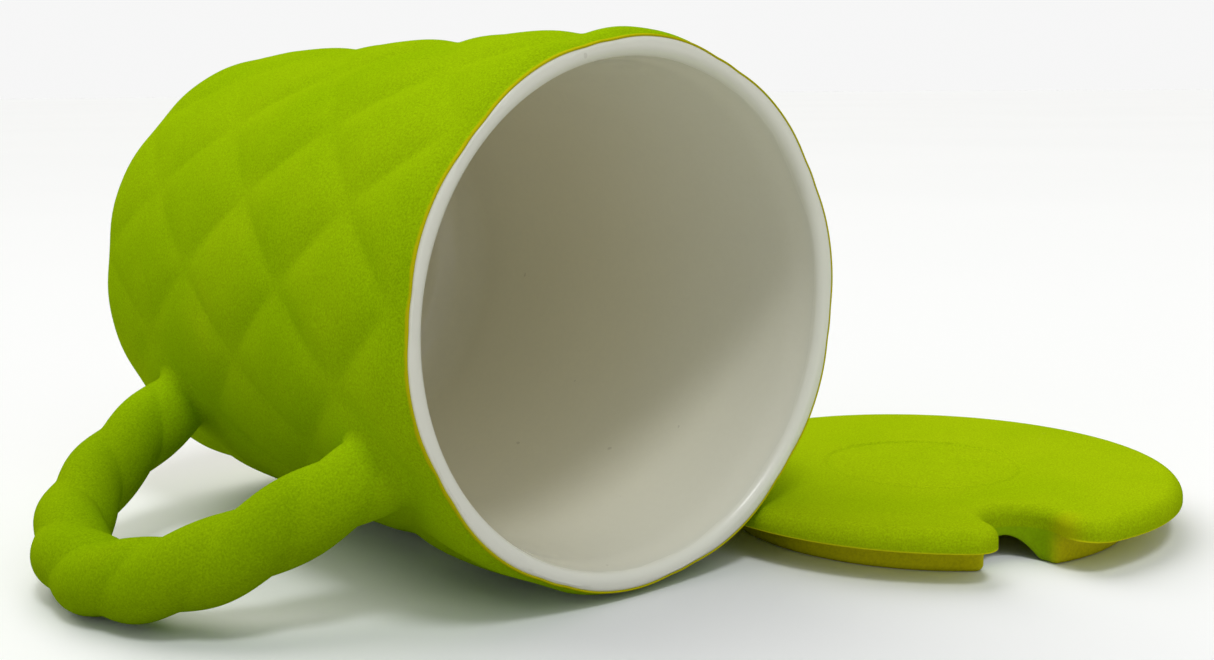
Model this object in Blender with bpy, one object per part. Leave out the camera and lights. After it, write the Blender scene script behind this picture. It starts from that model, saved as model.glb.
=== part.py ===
"""Quilted ceramic mug lying on its side, with its loose lid beside it.

Metres, +Z up.  The origin is on the table, under the middle of the whole set.
The mug's axis runs along +Y from the mouth to the foot, the handle points down
and towards -X, and the lid lies on its collar on the +X side.
"""
import math

import bpy
import bmesh
from mathutils import Matrix, Vector

for old in list(bpy.data.objects):
    bpy.data.objects.remove(old, do_unlink=True)

# ------------------------------------------------------------------ dimensions
MM = 0.001
GAP = 0.3 * MM                # clearance between touching pieces

AXIS_HEIGHT = 41.6 * MM       # mug axis above the table
RIM_RADIUS = 40.1 * MM        # coating edge at the mouth
WALL_RADIUS = 40.96 * MM      # crease radius just below the mouth
TAPER = 0.014                 # crease radius lost per unit of length
BODY_LENGTH = 102.7 * MM      # mouth to the flat of the base
BASE_ROUND = 7.2 * MM         # outer corner of the base
COAT = 0.5 * MM               # coloured coating at the creases
COAT_TOP = 0.9 * MM           # where the coating starts below the lip

CELLS = 10                    # diamonds round the mug
CELL_ROW = 15.82 * MM         # half of a diamond's height
ROW_START = 3.76 * MM         # first row of crossings
LATTICE_ANGLE = math.radians(-83.1)
PUFF = 1.08 * MM              # height of a diamond's crown over its creases
PUFF_POWER = 3.0

INNER_RADIUS = 37.4 * MM      # white glaze surface at the mouth
INNER_ROUND = 9.0 * MM        # inside corner of the base
INNER_DEPTH = 97.2 * MM
GLAZE = 0.4 * MM

FOOT_OUTER = 28.0 * MM
FOOT_INNER = 24.5 * MM
FOOT_HEIGHT = 1.4 * MM

HANDLE_ANGLE = math.radians(-118.65)
# control points of the handle's centre line: (below the mouth, from the axis)
HANDLE_PATH = [(10.8, 32.0), (18.6, 46.0), (20.6, 60.6), (34.4, 73.5), (53.4, 75.6),
               (69.1, 67.8), (77.2, 55.0), (79.4, 44.0), (81.3, 32.0)]
STRAND_RADIUS = 5.31 * MM     # each of the two strands
STRAND_OFFSET = 0.76 * MM     # strand centre from the centre line
ROPE_PITCH = 26.3 * MM        # length of one full turn of the twist
ROPE_PHASE = 1.194
JOINT_TOP = 45.3 * MM         # where the slip joints end and the handle starts
JOINT_RADIUS = 6.0 * MM
JOINT_FLARE = 2.6 * MM

MUG_X, MUG_Y = -19.347 * MM, -31.776 * MM     # centre of the mouth, seen from above
LID_X, LID_Y = 47.453 * MM, -29.376 * MM
LID_RADIUS = 42.95 * MM
PLATE_BOTTOM = 5.3 * MM
PLATE_THICK = 3.5 * MM
PLATE_ROUND = 2.6 * MM        # top edge
COLLAR_RADIUS = 34.8 * MM
COLLAR_FOOT = 31.9 * MM       # inside of the collar at its foot
COLLAR_ROOT = 27.1 * MM       # inside of the collar under the plate
COLLAR_ROUND = 1.1 * MM
DISH_RADIUS = 16.8 * MM       # shallow round dish in the middle of the lid
DISH_DEPTH = 0.35 * MM
NOTCH_ANGLE = math.radians(-115.0)
NOTCH_HALF = 6.0 * MM
NOTCH_DEPTH_R = 28.8 * MM     # notch end, from the lid's centre
NOTCH_CORNER_L = 5.0 * MM
NOTCH_CORNER_R = 4.6 * MM

RING = 60                     # segments round the coating
RING_IN = 48                  # segments round the hidden body and the glaze


# ------------------------------------------------------------------- materials
def material(name, colour, roughness, metallic=0.0, coat=0.0):
    mat = bpy.data.materials.new(name)
    mat.use_nodes = True
    shader = mat.node_tree.nodes["Principled BSDF"]
    shader.inputs["Base Color"].default_value = (*colour, 1.0)
    shader.inputs["Roughness"].default_value = roughness
    shader.inputs["Metallic"].default_value = metallic
    shader.inputs["Coat Weight"].default_value = coat
    mat.diffuse_color = (*colour, 1.0)
    return mat


LIME = (0.30, 0.47, 0.004)
OLIVE = (0.24, 0.24, 0.004)
WHITE = (0.72, 0.72, 0.66)


def finish(obj, mat, parent, sharp=40.0):
    obj.data.materials.append(mat)
    obj.parent = parent
    obj.data.shade_smooth()
    obj.data.set_sharp_from_angle(angle=math.radians(sharp))
    return obj


def mesh_object(name, bm):
    bmesh.ops.recalc_face_normals(bm, faces=bm.faces[:])
    me = bpy.data.meshes.new(name)
    bm.to_mesh(me)
    bm.free()
    obj = bpy.data.objects.new(name, me)
    bpy.context.scene.collection.objects.link(obj)
    return obj


def empty(name, matrix):
    node = bpy.data.objects.new(name, None)
    node.empty_display_size = 0.02
    node.matrix_world = matrix
    bpy.context.scene.collection.objects.link(node)
    return node


# The mug's own frame: local Z runs from the mouth to the foot, local -Y is up.
mug_frame = empty("mug_frame", Matrix.Translation((MUG_X, MUG_Y, AXIS_HEIGHT)) @ Matrix.Rotation(-math.pi / 2, 4, "X"))
lid_frame = empty("lid_frame", Matrix.Translation((LID_X, LID_Y, 0)))


def around(radius, theta, s):
    """A point of the mug's frame: theta is measured from the top towards +X."""
    return Vector((radius * math.sin(theta), -radius * math.cos(theta), s))


# --------------------------------------------------------------- wall profiles
CORNER_START = BODY_LENGTH - BASE_ROUND
CORNER_RADIUS = WALL_RADIUS - TAPER * CORNER_START


def crease_radius(s):
    radius = WALL_RADIUS - TAPER * s
    lip = 3.6 * MM
    if s < lip:
        radius -= (WALL_RADIUS - RIM_RADIUS) * ((lip - s) / (lip - COAT_TOP)) ** 2
    return radius


def pillow(theta, s):
    """Height of the quilting: 0 on the creases, 1 on a diamond's crown."""
    i = (LATTICE_ANGLE - theta) / (math.pi / CELLS)
    j = (s - ROW_START) / CELL_ROW
    p = ((i + j) / 2.0) % 1.0
    q = ((i - j) / 2.0) % 1.0
    height = (1 - abs(2 * p - 1) ** PUFF_POWER) * (1 - abs(2 * q - 1) ** PUFF_POWER)
    return height * min(1.0, max(0.0, (s - COAT_TOP) / (5 * MM)))


def lathe(name, profile, segments):
    """Turn a profile of (radius, s) points, from the axis back to the axis."""
    bm = bmesh.new()
    verts = [bm.verts.new((r, 0, s)) for r, s in profile]
    edges = [bm.edges.new((a, b)) for a, b in zip(verts, verts[1:])]
    bmesh.ops.spin(bm, geom=verts + edges, cent=(0, 0, 0), axis=(0, 0, 1),
                   angle=2 * math.pi, steps=segments, use_merge=True)
    bmesh.ops.remove_doubles(bm, verts=bm.verts[:], dist=1e-5)
    return mesh_object(name, bm)


def corner(cr, cs, radius, start, end, steps):
    """Arc of a profile round (cr, cs); 0 degrees points outwards, 90 to the foot."""
    return [(cr + radius * math.cos(math.radians(start + (end - start) * k / steps)),
             cs + radius * math.sin(math.radians(start + (end - start) * k / steps)))
            for k in range(steps + 1)]


# ------------------------------------------------------------------ outer skin
def coating():
    """Closed skin: quilted outside, plain inside, open at the mouth and the foot."""
    bm = bmesh.new()
    rows = [COAT_TOP, 1.7 * MM, 2.7 * MM]
    k = 0
    while ROW_START + k * CELL_ROW / 3 < CORNER_START - 1.0 * MM:
        rows.append(ROW_START + k * CELL_ROW / 3)
        k += 1
    rows.append(CORNER_START)
    outer = []
    for s in rows:
        outer.append([(crease_radius(s) + PUFF * pillow(t, s), s) for t in ring_angles()])
    for deg in (22.5, 45, 67.5, 90):
        a = math.radians(deg)
        s = CORNER_START + BASE_ROUND * math.sin(a)
        r = CORNER_RADIUS - BASE_ROUND * (1 - math.cos(a))
        fade = math.cos(a) ** 2
        outer.append([(r + PUFF * fade * pillow(t, s) * math.cos(a), s + PUFF * fade * pillow(t, s) * math.sin(a))
                      for t in ring_angles()])
    outer.append([(FOOT_OUTER + 1.5 * MM, BODY_LENGTH)] * RING)
    inner = [[(FOOT_OUTER + 1.5 * MM, BODY_LENGTH - COAT)] * RING]
    for r, s in reversed(corner(CORNER_RADIUS - BASE_ROUND, CORNER_START, BASE_ROUND - COAT, 0, 90, 4)):
        inner.append([(r, s)] * RING)
    for s in (70 * MM, 45 * MM, 22 * MM, 3.8 * MM, 2.0 * MM, COAT_TOP):
        thin = COAT if s > 3 * MM else 0.4 * MM
        inner.append([(crease_radius(s) - thin, s)] * RING)
    loops = []
    for row in outer + inner:
        loops.append([bm.verts.new(around(r, t, s)) for (r, s), t in zip(row, ring_angles())])
    for a, b in zip(loops, loops[1:] + loops[:1]):
        for n in range(RING):
            m = (n + 1) % RING
            quad = [a[n], a[m], b[m], b[n]]
            # split each face along the crease that crosses it, if one does
            sa, sb = a[n].co.z, b[n].co.z
            ia = round((LATTICE_ANGLE - ring_angles()[n]) / (math.pi / CELLS) * 3)
            ja = round((sa - ROW_START) / CELL_ROW * 3)
            if loops.index(a) < len(rows) - 2 and ja >= 0 and sb > sa:
                if (ia + ja) % 6 == 0 or (ia - ja) % 6 != 1:
                    bm.faces.new((quad[0], quad[1], quad[2]))
                    bm.faces.new((quad[0], quad[2], quad[3]))
                else:
                    bm.faces.new((quad[0], quad[1], quad[3]))
                    bm.faces.new((quad[1], quad[2], quad[3]))
            else:
                bm.faces.new(quad)
    return mesh_object("outer_coating", bm)


_ANGLES = [LATTICE_ANGLE + 2 * math.pi * n / RING for n in range(RING)]


def ring_angles():
    return _ANGLES


finish(coating(), material("lime_coating", LIME, 0.55), mug_frame, 60)

# ------------------------------------------------------------- ceramic body
shell = COAT + GAP
body_profile = [(0, INNER_DEPTH + GLAZE + GAP)]
floor_s = INNER_DEPTH + GLAZE + GAP
inner_off = GLAZE + GAP


def inner_radius(s):
    return INNER_RADIUS - TAPER * s


corner_s = INNER_DEPTH - INNER_ROUND
inside_corner = corner(inner_radius(corner_s) - INNER_ROUND, corner_s, INNER_ROUND + inner_off, 90, 0, 5)
body_profile += inside_corner
for s in (60 * MM, 30 * MM, 6 * MM):
    body_profile.append((inner_radius(s) + inner_off, s))
lip_s = 0.75 * MM + GAP
body_profile += [(INNER_RADIUS + inner_off, lip_s), (RIM_RADIUS - 0.4 * MM - GAP, lip_s)]
body_profile.append((crease_radius(2.0 * MM) - 0.4 * MM - GAP - 0.05 * MM, 2.0 * MM))
for s in (3.8 * MM, 22 * MM, 45 * MM, 70 * MM):
    body_profile.append((crease_radius(s) - shell, s))
body_profile += corner(CORNER_RADIUS - BASE_ROUND, CORNER_START, BASE_ROUND - shell, 0, 90, 4)
body_profile += [(FOOT_OUTER + 0.9 * MM, BODY_LENGTH - shell),
                 (FOOT_OUTER + 0.3 * MM, BODY_LENGTH),
                 (FOOT_OUTER, BODY_LENGTH + FOOT_HEIGHT - 0.4 * MM),
                 (FOOT_OUTER - 0.4 * MM, BODY_LENGTH + FOOT_HEIGHT),
                 (FOOT_INNER + 0.4 * MM, BODY_LENGTH + FOOT_HEIGHT),
                 (FOOT_INNER, BODY_LENGTH + FOOT_HEIGHT - 0.4 * MM),
                 (FOOT_INNER - 0.6 * MM, BODY_LENGTH - 0.5 * MM),
                 (0, BODY_LENGTH - 0.5 * MM)]
finish(lathe("mug_body", body_profile, RING_IN), material("unglazed_ceramic", (0.62, 0.58, 0.50), 0.75), mug_frame)

# ------------------------------------------------------------- white glaze
glaze_profile = [(0, INNER_DEPTH)]
glaze_profile += corner(inner_radius(corner_s) - INNER_ROUND, corner_s, INNER_ROUND, 90, 0, 5)
for s in (60 * MM, 30 * MM, 6 * MM, 1.0 * MM):
    glaze_profile.append((inner_radius(s), s))
glaze_profile += [(37.7 * MM, 0.4 * MM), (38.3 * MM, 0.0), (39.2 * MM, 0.0), (39.45 * MM, 0.3 * MM),
                  (39.5 * MM, 0.75 * MM), (INNER_RADIUS + GLAZE, 0.75 * MM)]
for s in (6 * MM, 30 * MM, 60 * MM):
    glaze_profile.append((inner_radius(s) + GLAZE, s))
glaze_profile += corner(inner_radius(corner_s) - INNER_ROUND, corner_s, INNER_ROUND + GLAZE, 0, 90, 5)
glaze_profile.append((0, INNER_DEPTH + GLAZE))
finish(lathe("inner_glaze", glaze_profile, RING_IN), material("white_glaze", WHITE, 0.12, coat=0.6), mug_frame, 50)


# ------------------------------------------------------------------- handle
def spline(points, t):
    """Clamped uniform cubic B-spline through its control points, t in 0..1."""
    degree = 3
    n = len(points)
    spans = n - degree
    knots = [0.0] * degree + [k / spans for k in range(spans + 1)] + [1.0] * degree
    t = min(max(t, 0.0), 1.0 - 1e-9)
    span = degree + int(t * spans)
    work = [Vector(points[span - degree + k]) for k in range(degree + 1)]
    for level in range(1, degree + 1):
        for k in range(degree, level - 1, -1):
            lo = knots[span - degree + k]
            hi = knots[span + 1 + k - level]
            w = (t - lo) / (hi - lo)
            work[k] = work[k - 1] * (1 - w) + work[k] * w
    return work[degree]


def handle_point(flat):
    """(below the mouth, from the axis) in the handle's plane to the mug's frame."""
    return around(flat[1], HANDLE_ANGLE, flat[0])


SAMPLES = 900
path = [spline([(a * MM, b * MM) for a, b in HANDLE_PATH], k / SAMPLES) for k in range(SAMPLES + 1)]
lengths = [0.0]
for a, b in zip(path, path[1:]):
    lengths.append(lengths[-1] + (b - a).length)


def on_path(length):
    """Point and direction of the centre line at a length from its start."""
    lo, hi = 0, SAMPLES
    while hi - lo > 1:
        mid = (lo + hi) // 2
        lo, hi = (mid, hi) if lengths[mid] <= length else (lo, mid)
    w = (length - lengths[lo]) / (lengths[hi] - lengths[lo])
    point = path[lo].lerp(path[hi], w)
    before, after = path[max(lo - 2, 0)], path[min(hi + 2, SAMPLES)]
    return point, (after - before).normalized()


def crossing(radius, first):
    """Length at which the centre line crosses a distance from the mug's axis."""
    order = range(SAMPLES + 1) if first else range(SAMPLES, -1, -1)
    for k in order:
        if path[k].y >= radius:
            return lengths[k]
    return 0.0


PLANE_NORMAL = around(1.0, HANDLE_ANGLE + math.pi / 2, 0.0)


def section(length, radius_of, count):
    """Ring of points round the centre line; radius_of(angle) from its outer side."""
    point, direction = on_path(length)
    centre = handle_point(point)
    tangent = (handle_point(point + direction) - centre).normalized()
    side = PLANE_NORMAL.cross(tangent).normalized()
    return [centre + (side * math.cos(a) + PLANE_NORMAL * math.sin(a)) * radius_of(a)
            for a in (2 * math.pi * k / count for k in range(count))], centre


def strand_radius(angle):
    """Outline of two strands laid together, measured from the line joining them."""
    return (STRAND_OFFSET * abs(math.cos(angle))
            + math.sqrt(STRAND_RADIUS ** 2 - (STRAND_OFFSET * math.sin(angle)) ** 2))


def skin_rings(bm, rings):
    loops = [[bm.verts.new(p) for p in ring] for ring in rings]
    for a, b in zip(loops, loops[1:]):
        for n in range(len(a)):
            m = (n + 1) % len(a)
            bm.faces.new((a[n], a[m], b[m], b[n]))
    bm.faces.new(loops[0])
    bm.faces.new(reversed(loops[-1]))


START = crossing(JOINT_TOP + GAP, True)
END = crossing(JOINT_TOP + GAP, False)


def rope_handle():
    bm = bmesh.new()
    rows, count = 54, 16
    rings = []
    for k in range(rows + 1):
        length = START + (END - START) * k / rows
        twist = -2 * math.pi * length / ROPE_PITCH + ROPE_PHASE
        point, direction = on_path(length)
        centre = handle_point(point)
        tangent = (handle_point(point + direction) - centre).normalized()
        side = PLANE_NORMAL.cross(tangent).normalized()
        ring = []
        for n in range(count):
            a = 2 * math.pi * n / count
            psi = a + twist
            ring.append(centre + (side * math.cos(psi) + PLANE_NORMAL * math.sin(psi)) * strand_radius(a))
        rings.append(ring)
    skin_rings(bm, rings)
    return mesh_object("handle", bm)


finish(rope_handle(), material("lime_handle", LIME, 0.55), mug_frame, 50)


# --------------------------------------------- slip joints of the handle's roots
def envelope():
    """Solid just larger than the mug, to cut the joints to the wall's curve."""
    bm = bmesh.new()
    profile = [(0, -8 * MM)]
    for s in (-8 * MM, 4 * MM, 20 * MM, 40 * MM, 60 * MM, 80 * MM, 100 * MM):
        profile.append((WALL_RADIUS - TAPER * s + PUFF + GAP + 0.05 * MM, s))
    profile.append((0, 100 * MM))
    verts = [bm.verts.new((r, 0, s)) for r, s in profile]
    edges = [bm.edges.new((a, b)) for a, b in zip(verts, verts[1:])]
    bmesh.ops.spin(bm, geom=verts + edges, cent=(0, 0, 0), axis=(0, 0, 1),
                   angle=2 * math.pi, steps=120, use_merge=True)
    bmesh.ops.remove_doubles(bm, verts=bm.verts[:], dist=1e-5)
    return mesh_object("mug_envelope", bm)


cutter = envelope()
cutter.parent = mug_frame
cutter.hide_render = True
cutter.display_type = "WIRE"


def slip_joint(name, first):
    """Flared collar of slip that carries one end of the handle."""
    top = crossing(JOINT_TOP, first)
    inward = -1 if first else 1
    bm = bmesh.new()
    rings = []
    for k in range(7):
        depth = k / 6 * 8.0 * MM
        flare = JOINT_FLARE * min(1.0, depth / (4.2 * MM)) ** 2.2
        ring, _ = section(top + inward * depth, lambda a: JOINT_RADIUS + flare, 28)
        rings.append(ring)
    skin_rings(bm, rings)
    obj = mesh_object(name, bm)
    cut = obj.modifiers.new("wall", "BOOLEAN")
    cut.operation = "DIFFERENCE"
    cut.solver = "EXACT"
    cut.object = cutter
    return finish(obj, material(name + "_lime", LIME, 0.55), mug_frame, 50)


slip_joint("upper_handle_joint", True)
slip_joint("lower_handle_joint", False)


# ------------------------------------------------------------------------ lid
def notched_outline(radius, half, end, left, right, inset, arc=88):
    """Round outline with a U-shaped notch, moved inwards by an inset."""
    def turn(cx, cy, r, a0, a1, steps):
        return [(cx + r * math.cos(a0 + (a1 - a0) * k / steps), cy + r * math.sin(a0 + (a1 - a0) * k / steps))
                for k in range(steps + 1)]
    xr = math.sqrt((radius - right) ** 2 - (half + right) ** 2)
    xl = math.sqrt((radius - left) ** 2 - (half + left) ** 2)
    ar = math.atan2(-(half + right), xr)
    al = math.atan2(half + left, xl)
    points = turn(0, 0, radius - inset, al, 2 * math.pi + ar, arc)[:-1]
    points += turn(xr, -(half + right), right - inset, ar, math.pi / 2, 7)
    points += turn(end + half, 0, half + inset, -math.pi / 2, -3 * math.pi / 2, 14)
    points += turn(xl, half + left, left - inset, -math.pi / 2, al, 5)[:-1]
    c, s = math.cos(NOTCH_ANGLE), math.sin(NOTCH_ANGLE)
    return [(x * c - y * s, x * s + y * c) for x, y in points]


def lid_plate():
    bm = bmesh.new()
    levels = [(0.25 * MM, 0.0), (0.0, 0.25 * MM)]
    for k in range(6):
        a = math.radians(90 * k / 5)
        levels.append((PLATE_ROUND * (1 - math.cos(a)), PLATE_THICK - PLATE_ROUND + PLATE_ROUND * math.sin(a)))
    rings = []
    for inset, z in levels:
        outline = notched_outline(LID_RADIUS, NOTCH_HALF, NOTCH_DEPTH_R, NOTCH_CORNER_L, NOTCH_CORNER_R, inset)
        rings.append([Vector((x, y, PLATE_BOTTOM + z)) for x, y in outline])
    skin_rings(bm, rings)
    return mesh_object("lid_plate", bm)


def notch_cutter():
    bm = bmesh.new()
    outline = [(60 * MM, -NOTCH_HALF), (60 * MM, NOTCH_HALF)]
    for k in range(15):
        a = math.pi / 2 + math.pi * k / 14
        outline.append((NOTCH_DEPTH_R + NOTCH_HALF + NOTCH_HALF * math.cos(a), NOTCH_HALF * math.sin(a)))
    c, s = math.cos(NOTCH_ANGLE), math.sin(NOTCH_ANGLE)
    face = bm.faces.new([bm.verts.new((x * c - y * s, x * s + y * c, -4 * MM)) for x, y in outline])
    grown = bmesh.ops.extrude_face_region(bm, geom=[face])
    bmesh.ops.translate(bm, vec=(0, 0, 20 * MM), verts=[v for v in grown["geom"] if isinstance(v, bmesh.types.BMVert)])
    return mesh_object("notch_cutter", bm)


def hide(obj):
    obj.parent = lid_frame
    obj.hide_render = True
    obj.display_type = "WIRE"
    return obj


plate = finish(lid_plate(), material("lime_lid", LIME, 0.55), lid_frame, 35)
bm = bmesh.new()
bmesh.ops.create_cone(bm, cap_ends=True, segments=56, radius1=DISH_RADIUS - 0.8 * MM, radius2=DISH_RADIUS + 1.2 * MM,
                      depth=5 * DISH_DEPTH,
                      matrix=Matrix.Translation((0, 0, PLATE_BOTTOM + PLATE_THICK + 1.5 * DISH_DEPTH)))
dish = hide(mesh_object("dish_cutter", bm))
cut = plate.modifiers.new("dish", "BOOLEAN")
cut.operation = "DIFFERENCE"
cut.solver = "EXACT"
cut.object = dish

collar_top = PLATE_BOTTOM - GAP
bm = bmesh.new()
profile = [(COLLAR_RADIUS, collar_top), (COLLAR_RADIUS, COLLAR_ROUND)]
profile += [(COLLAR_RADIUS - COLLAR_ROUND * (1 - math.cos(math.radians(d))), COLLAR_ROUND * (1 - math.sin(math.radians(d))))
            for d in (30, 60, 90)]
profile += [(COLLAR_FOOT, 0.0), (COLLAR_FOOT - 0.7 * MM, 0.6 * MM), (COLLAR_ROOT, collar_top)]
verts = [bm.verts.new((r, 0, z)) for r, z in profile]
edges = [bm.edges.new((a, b)) for a, b in zip(verts, verts[1:] + verts[:1])]
bmesh.ops.spin(bm, geom=verts + edges, cent=(0, 0, 0), axis=(0, 0, 1), angle=2 * math.pi, steps=56, use_merge=True)
bmesh.ops.remove_doubles(bm, verts=bm.verts[:], dist=1e-5)
collar = mesh_object("lid_collar", bm)
finish(collar, material("olive_collar", OLIVE, 0.5), lid_frame, 40)
cut = collar.modifiers.new("notch", "BOOLEAN")
cut.operation = "DIFFERENCE"
cut.solver = "EXACT"
cut.object = hide(notch_cutter())
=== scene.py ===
"""Looks for the quilted mug on its side and its loose lid."""

import math

import bpy
import numpy as np
from mathutils import Matrix, Vector


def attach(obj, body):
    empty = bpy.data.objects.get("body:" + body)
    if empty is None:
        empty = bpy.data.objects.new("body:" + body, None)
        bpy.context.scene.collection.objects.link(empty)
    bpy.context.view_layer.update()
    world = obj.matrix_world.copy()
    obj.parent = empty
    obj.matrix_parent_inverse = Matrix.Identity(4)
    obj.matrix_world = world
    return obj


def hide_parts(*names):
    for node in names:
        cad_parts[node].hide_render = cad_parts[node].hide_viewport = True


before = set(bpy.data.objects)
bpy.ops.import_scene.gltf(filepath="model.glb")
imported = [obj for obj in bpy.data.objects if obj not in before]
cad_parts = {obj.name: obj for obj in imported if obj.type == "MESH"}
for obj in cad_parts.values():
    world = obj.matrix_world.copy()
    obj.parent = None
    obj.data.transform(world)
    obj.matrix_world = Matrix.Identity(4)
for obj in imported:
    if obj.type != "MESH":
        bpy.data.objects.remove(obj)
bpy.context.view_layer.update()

MM = 0.001
TAU = 2 * math.pi

# ---------------------------------------------------------------- dimensions, mm
MUG = np.array([-19.347, -31.776, 41.6])      # centre of the mouth
RIM_CREASE = 40.05
WALL_RADIUS = 40.82
TAPER = 0.014
BODY_LENGTH = 103.0
BASE_ROUND = 6.3
COAT_TOP = 0.9
CELLS = 10
CELL_ROW = 15.82
ROW_START = 3.76
LATTICE_ANGLE = math.radians(-83.1)
PUFF = 0.98
CREASE_SOFT = 0.15
INNER_RADIUS = 37.4
INNER_ROUND = 9.0
INNER_DEPTH = 97.2
FOOT_OUTER = 28.0
FOOT_INNER = 24.5
FOOT_HEIGHT = 1.4

HANDLE_ANGLE = math.radians(-118.65)
HANDLE_PATH = [(10.8, 32.0), (18.6, 46.0), (20.6, 60.6), (34.4, 73.5), (53.4, 75.6),
               (69.1, 67.8), (77.2, 55.0), (79.4, 44.0), (81.3, 32.0)]
STRAND_RADIUS = 5.26
STRAND_OFFSET = 0.80
GROOVE_SOFT = 0.06
ROPE_PITCH = 26.3
ROPE_PHASE = 1.194
ROOT_BLEND = 1.1

LID = np.array([47.453, -29.376, 0.0])
LID_RADIUS = 42.95
PLATE_BOTTOM = 5.3
PLATE_THICK = 3.5
PLATE_ROUND = 2.6
NOTCH_ROUND = 0.8              # share of that rounding round the notch
COLLAR_RADIUS = 34.8
COLLAR_FOOT = 31.9
COLLAR_ROOT = 27.1
DISH_RADIUS = 16.8
DISH_DEPTH = 0.12
GROOVE_DEPTH = 0.30
NOTCH_ANGLE = math.radians(-115.0)
NOTCH_HALF = 6.0
NOTCH_END = 28.8
NOTCH_CORNER_L = 5.0
NOTCH_CORNER_R = 4.6


# ------------------------------------------------------------------ mesh helpers
def loft(name, rings, wrap=False, sharp=None):
    """Skin over rings of equal count; a ring of one point is a pole."""
    verts, starts, counts = [], [], []
    for ring in rings:
        ring = np.atleast_2d(ring)
        starts.append(len(verts))
        counts.append(len(ring))
        verts.extend(ring.tolist())
    verts = np.array(verts)
    faces = []
    pairs = list(zip(range(len(rings) - 1), range(1, len(rings))))
    if wrap:
        pairs.append((len(rings) - 1, 0))
    for a, b in pairs:
        na, nb, sa, sb = counts[a], counts[b], starts[a], starts[b]
        if na == 1 and nb == 1:
            continue
        n = max(na, nb)
        for k in range(n):
            m = (k + 1) % n
            if na == 1:
                faces.append((sa, sb + m, sb + k))
            elif nb == 1:
                faces.append((sa + k, sa + m, sb))
            else:
                faces.append((sa + k, sa + m, sb + m, sb + k))
    return make_mesh(name, verts, faces, sharp)


def make_mesh(name, verts, faces, sharp):
    tris = np.array([(f[0], f[1], f[2]) for f in faces] + [(f[0], f[2], f[3]) for f in faces if len(f) == 4])
    a, b, c = verts[tris[:, 0]], verts[tris[:, 1]], verts[tris[:, 2]]
    if np.einsum("ij,ij->", a, np.cross(b, c)) < 0:
        faces = [tuple(reversed(f)) for f in faces]
    me = bpy.data.meshes.new(name)
    me.from_pydata((verts * MM).tolist(), [], faces)
    me.update()
    me.shade_smooth()
    if sharp:
        me.set_sharp_from_angle(angle=math.radians(sharp))
    obj = bpy.data.objects.new(name, me)
    bpy.context.scene.collection.objects.link(obj)
    return obj


def mug_point(r, th, s):
    """r from the mug's axis, th from the top towards +X, s from the mouth."""
    r, th, s = np.broadcast_arrays(np.asarray(r, float), th, s)
    return np.stack([MUG[0] + r * np.sin(th), MUG[1] + s, MUG[2] + r * np.cos(th)], -1)


def smoothstep(x):
    x = np.clip(x, 0, 1)
    return x * x * (3 - 2 * x)


# ---------------------------------------------------------------- the mug's wall
CORNER_START = BODY_LENGTH - BASE_ROUND
CORNER_RADIUS = WALL_RADIUS - TAPER * CORNER_START


def crease_radius(s):
    s = np.asarray(s, float)
    drop = WALL_RADIUS - TAPER * COAT_TOP - RIM_CREASE
    lip = 3.8
    return WALL_RADIUS - TAPER * s - drop * np.clip((lip - s) / (lip - COAT_TOP), 0, 2) ** 2


def pillow(th, s, soft=CREASE_SOFT):
    """Quilting height, 0 on the creases and 1 on the crowns, creases softened."""
    i = (LATTICE_ANGLE - th) / (math.pi / CELLS)
    j = (s - ROW_START) / CELL_ROW
    p = ((i + j) / 2.0) % 1.0
    q = ((i - j) / 2.0) % 1.0
    a = 1 - np.abs(2 * p - 1) ** 3.0
    b = 1 - np.abs(2 * q - 1) ** 3.0
    a = (np.sqrt(a * a + soft * soft) - soft) / (math.sqrt(1 + soft * soft) - soft)
    b = (np.sqrt(b * b + soft * soft) - soft) / (math.sqrt(1 + soft * soft) - soft)
    # shallower at the lip and towards the foot
    return a * b * (0.42 + 0.58 * smoothstep((s - COAT_TOP) / 6.0)) * (1 - 0.38 * smoothstep((s - 42.0) / 42.0))


def wall(th, s):
    """Outer surface of the coating."""
    # slow unevenness of a slip-cast wall
    wob = 0.05 * np.sin(3 * th + 0.045 * s + 0.6) + 0.04 * np.sin(5 * th - 0.07 * s + 2.1)
    return crease_radius(s) + PUFF * pillow(th, s) + wob


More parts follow.
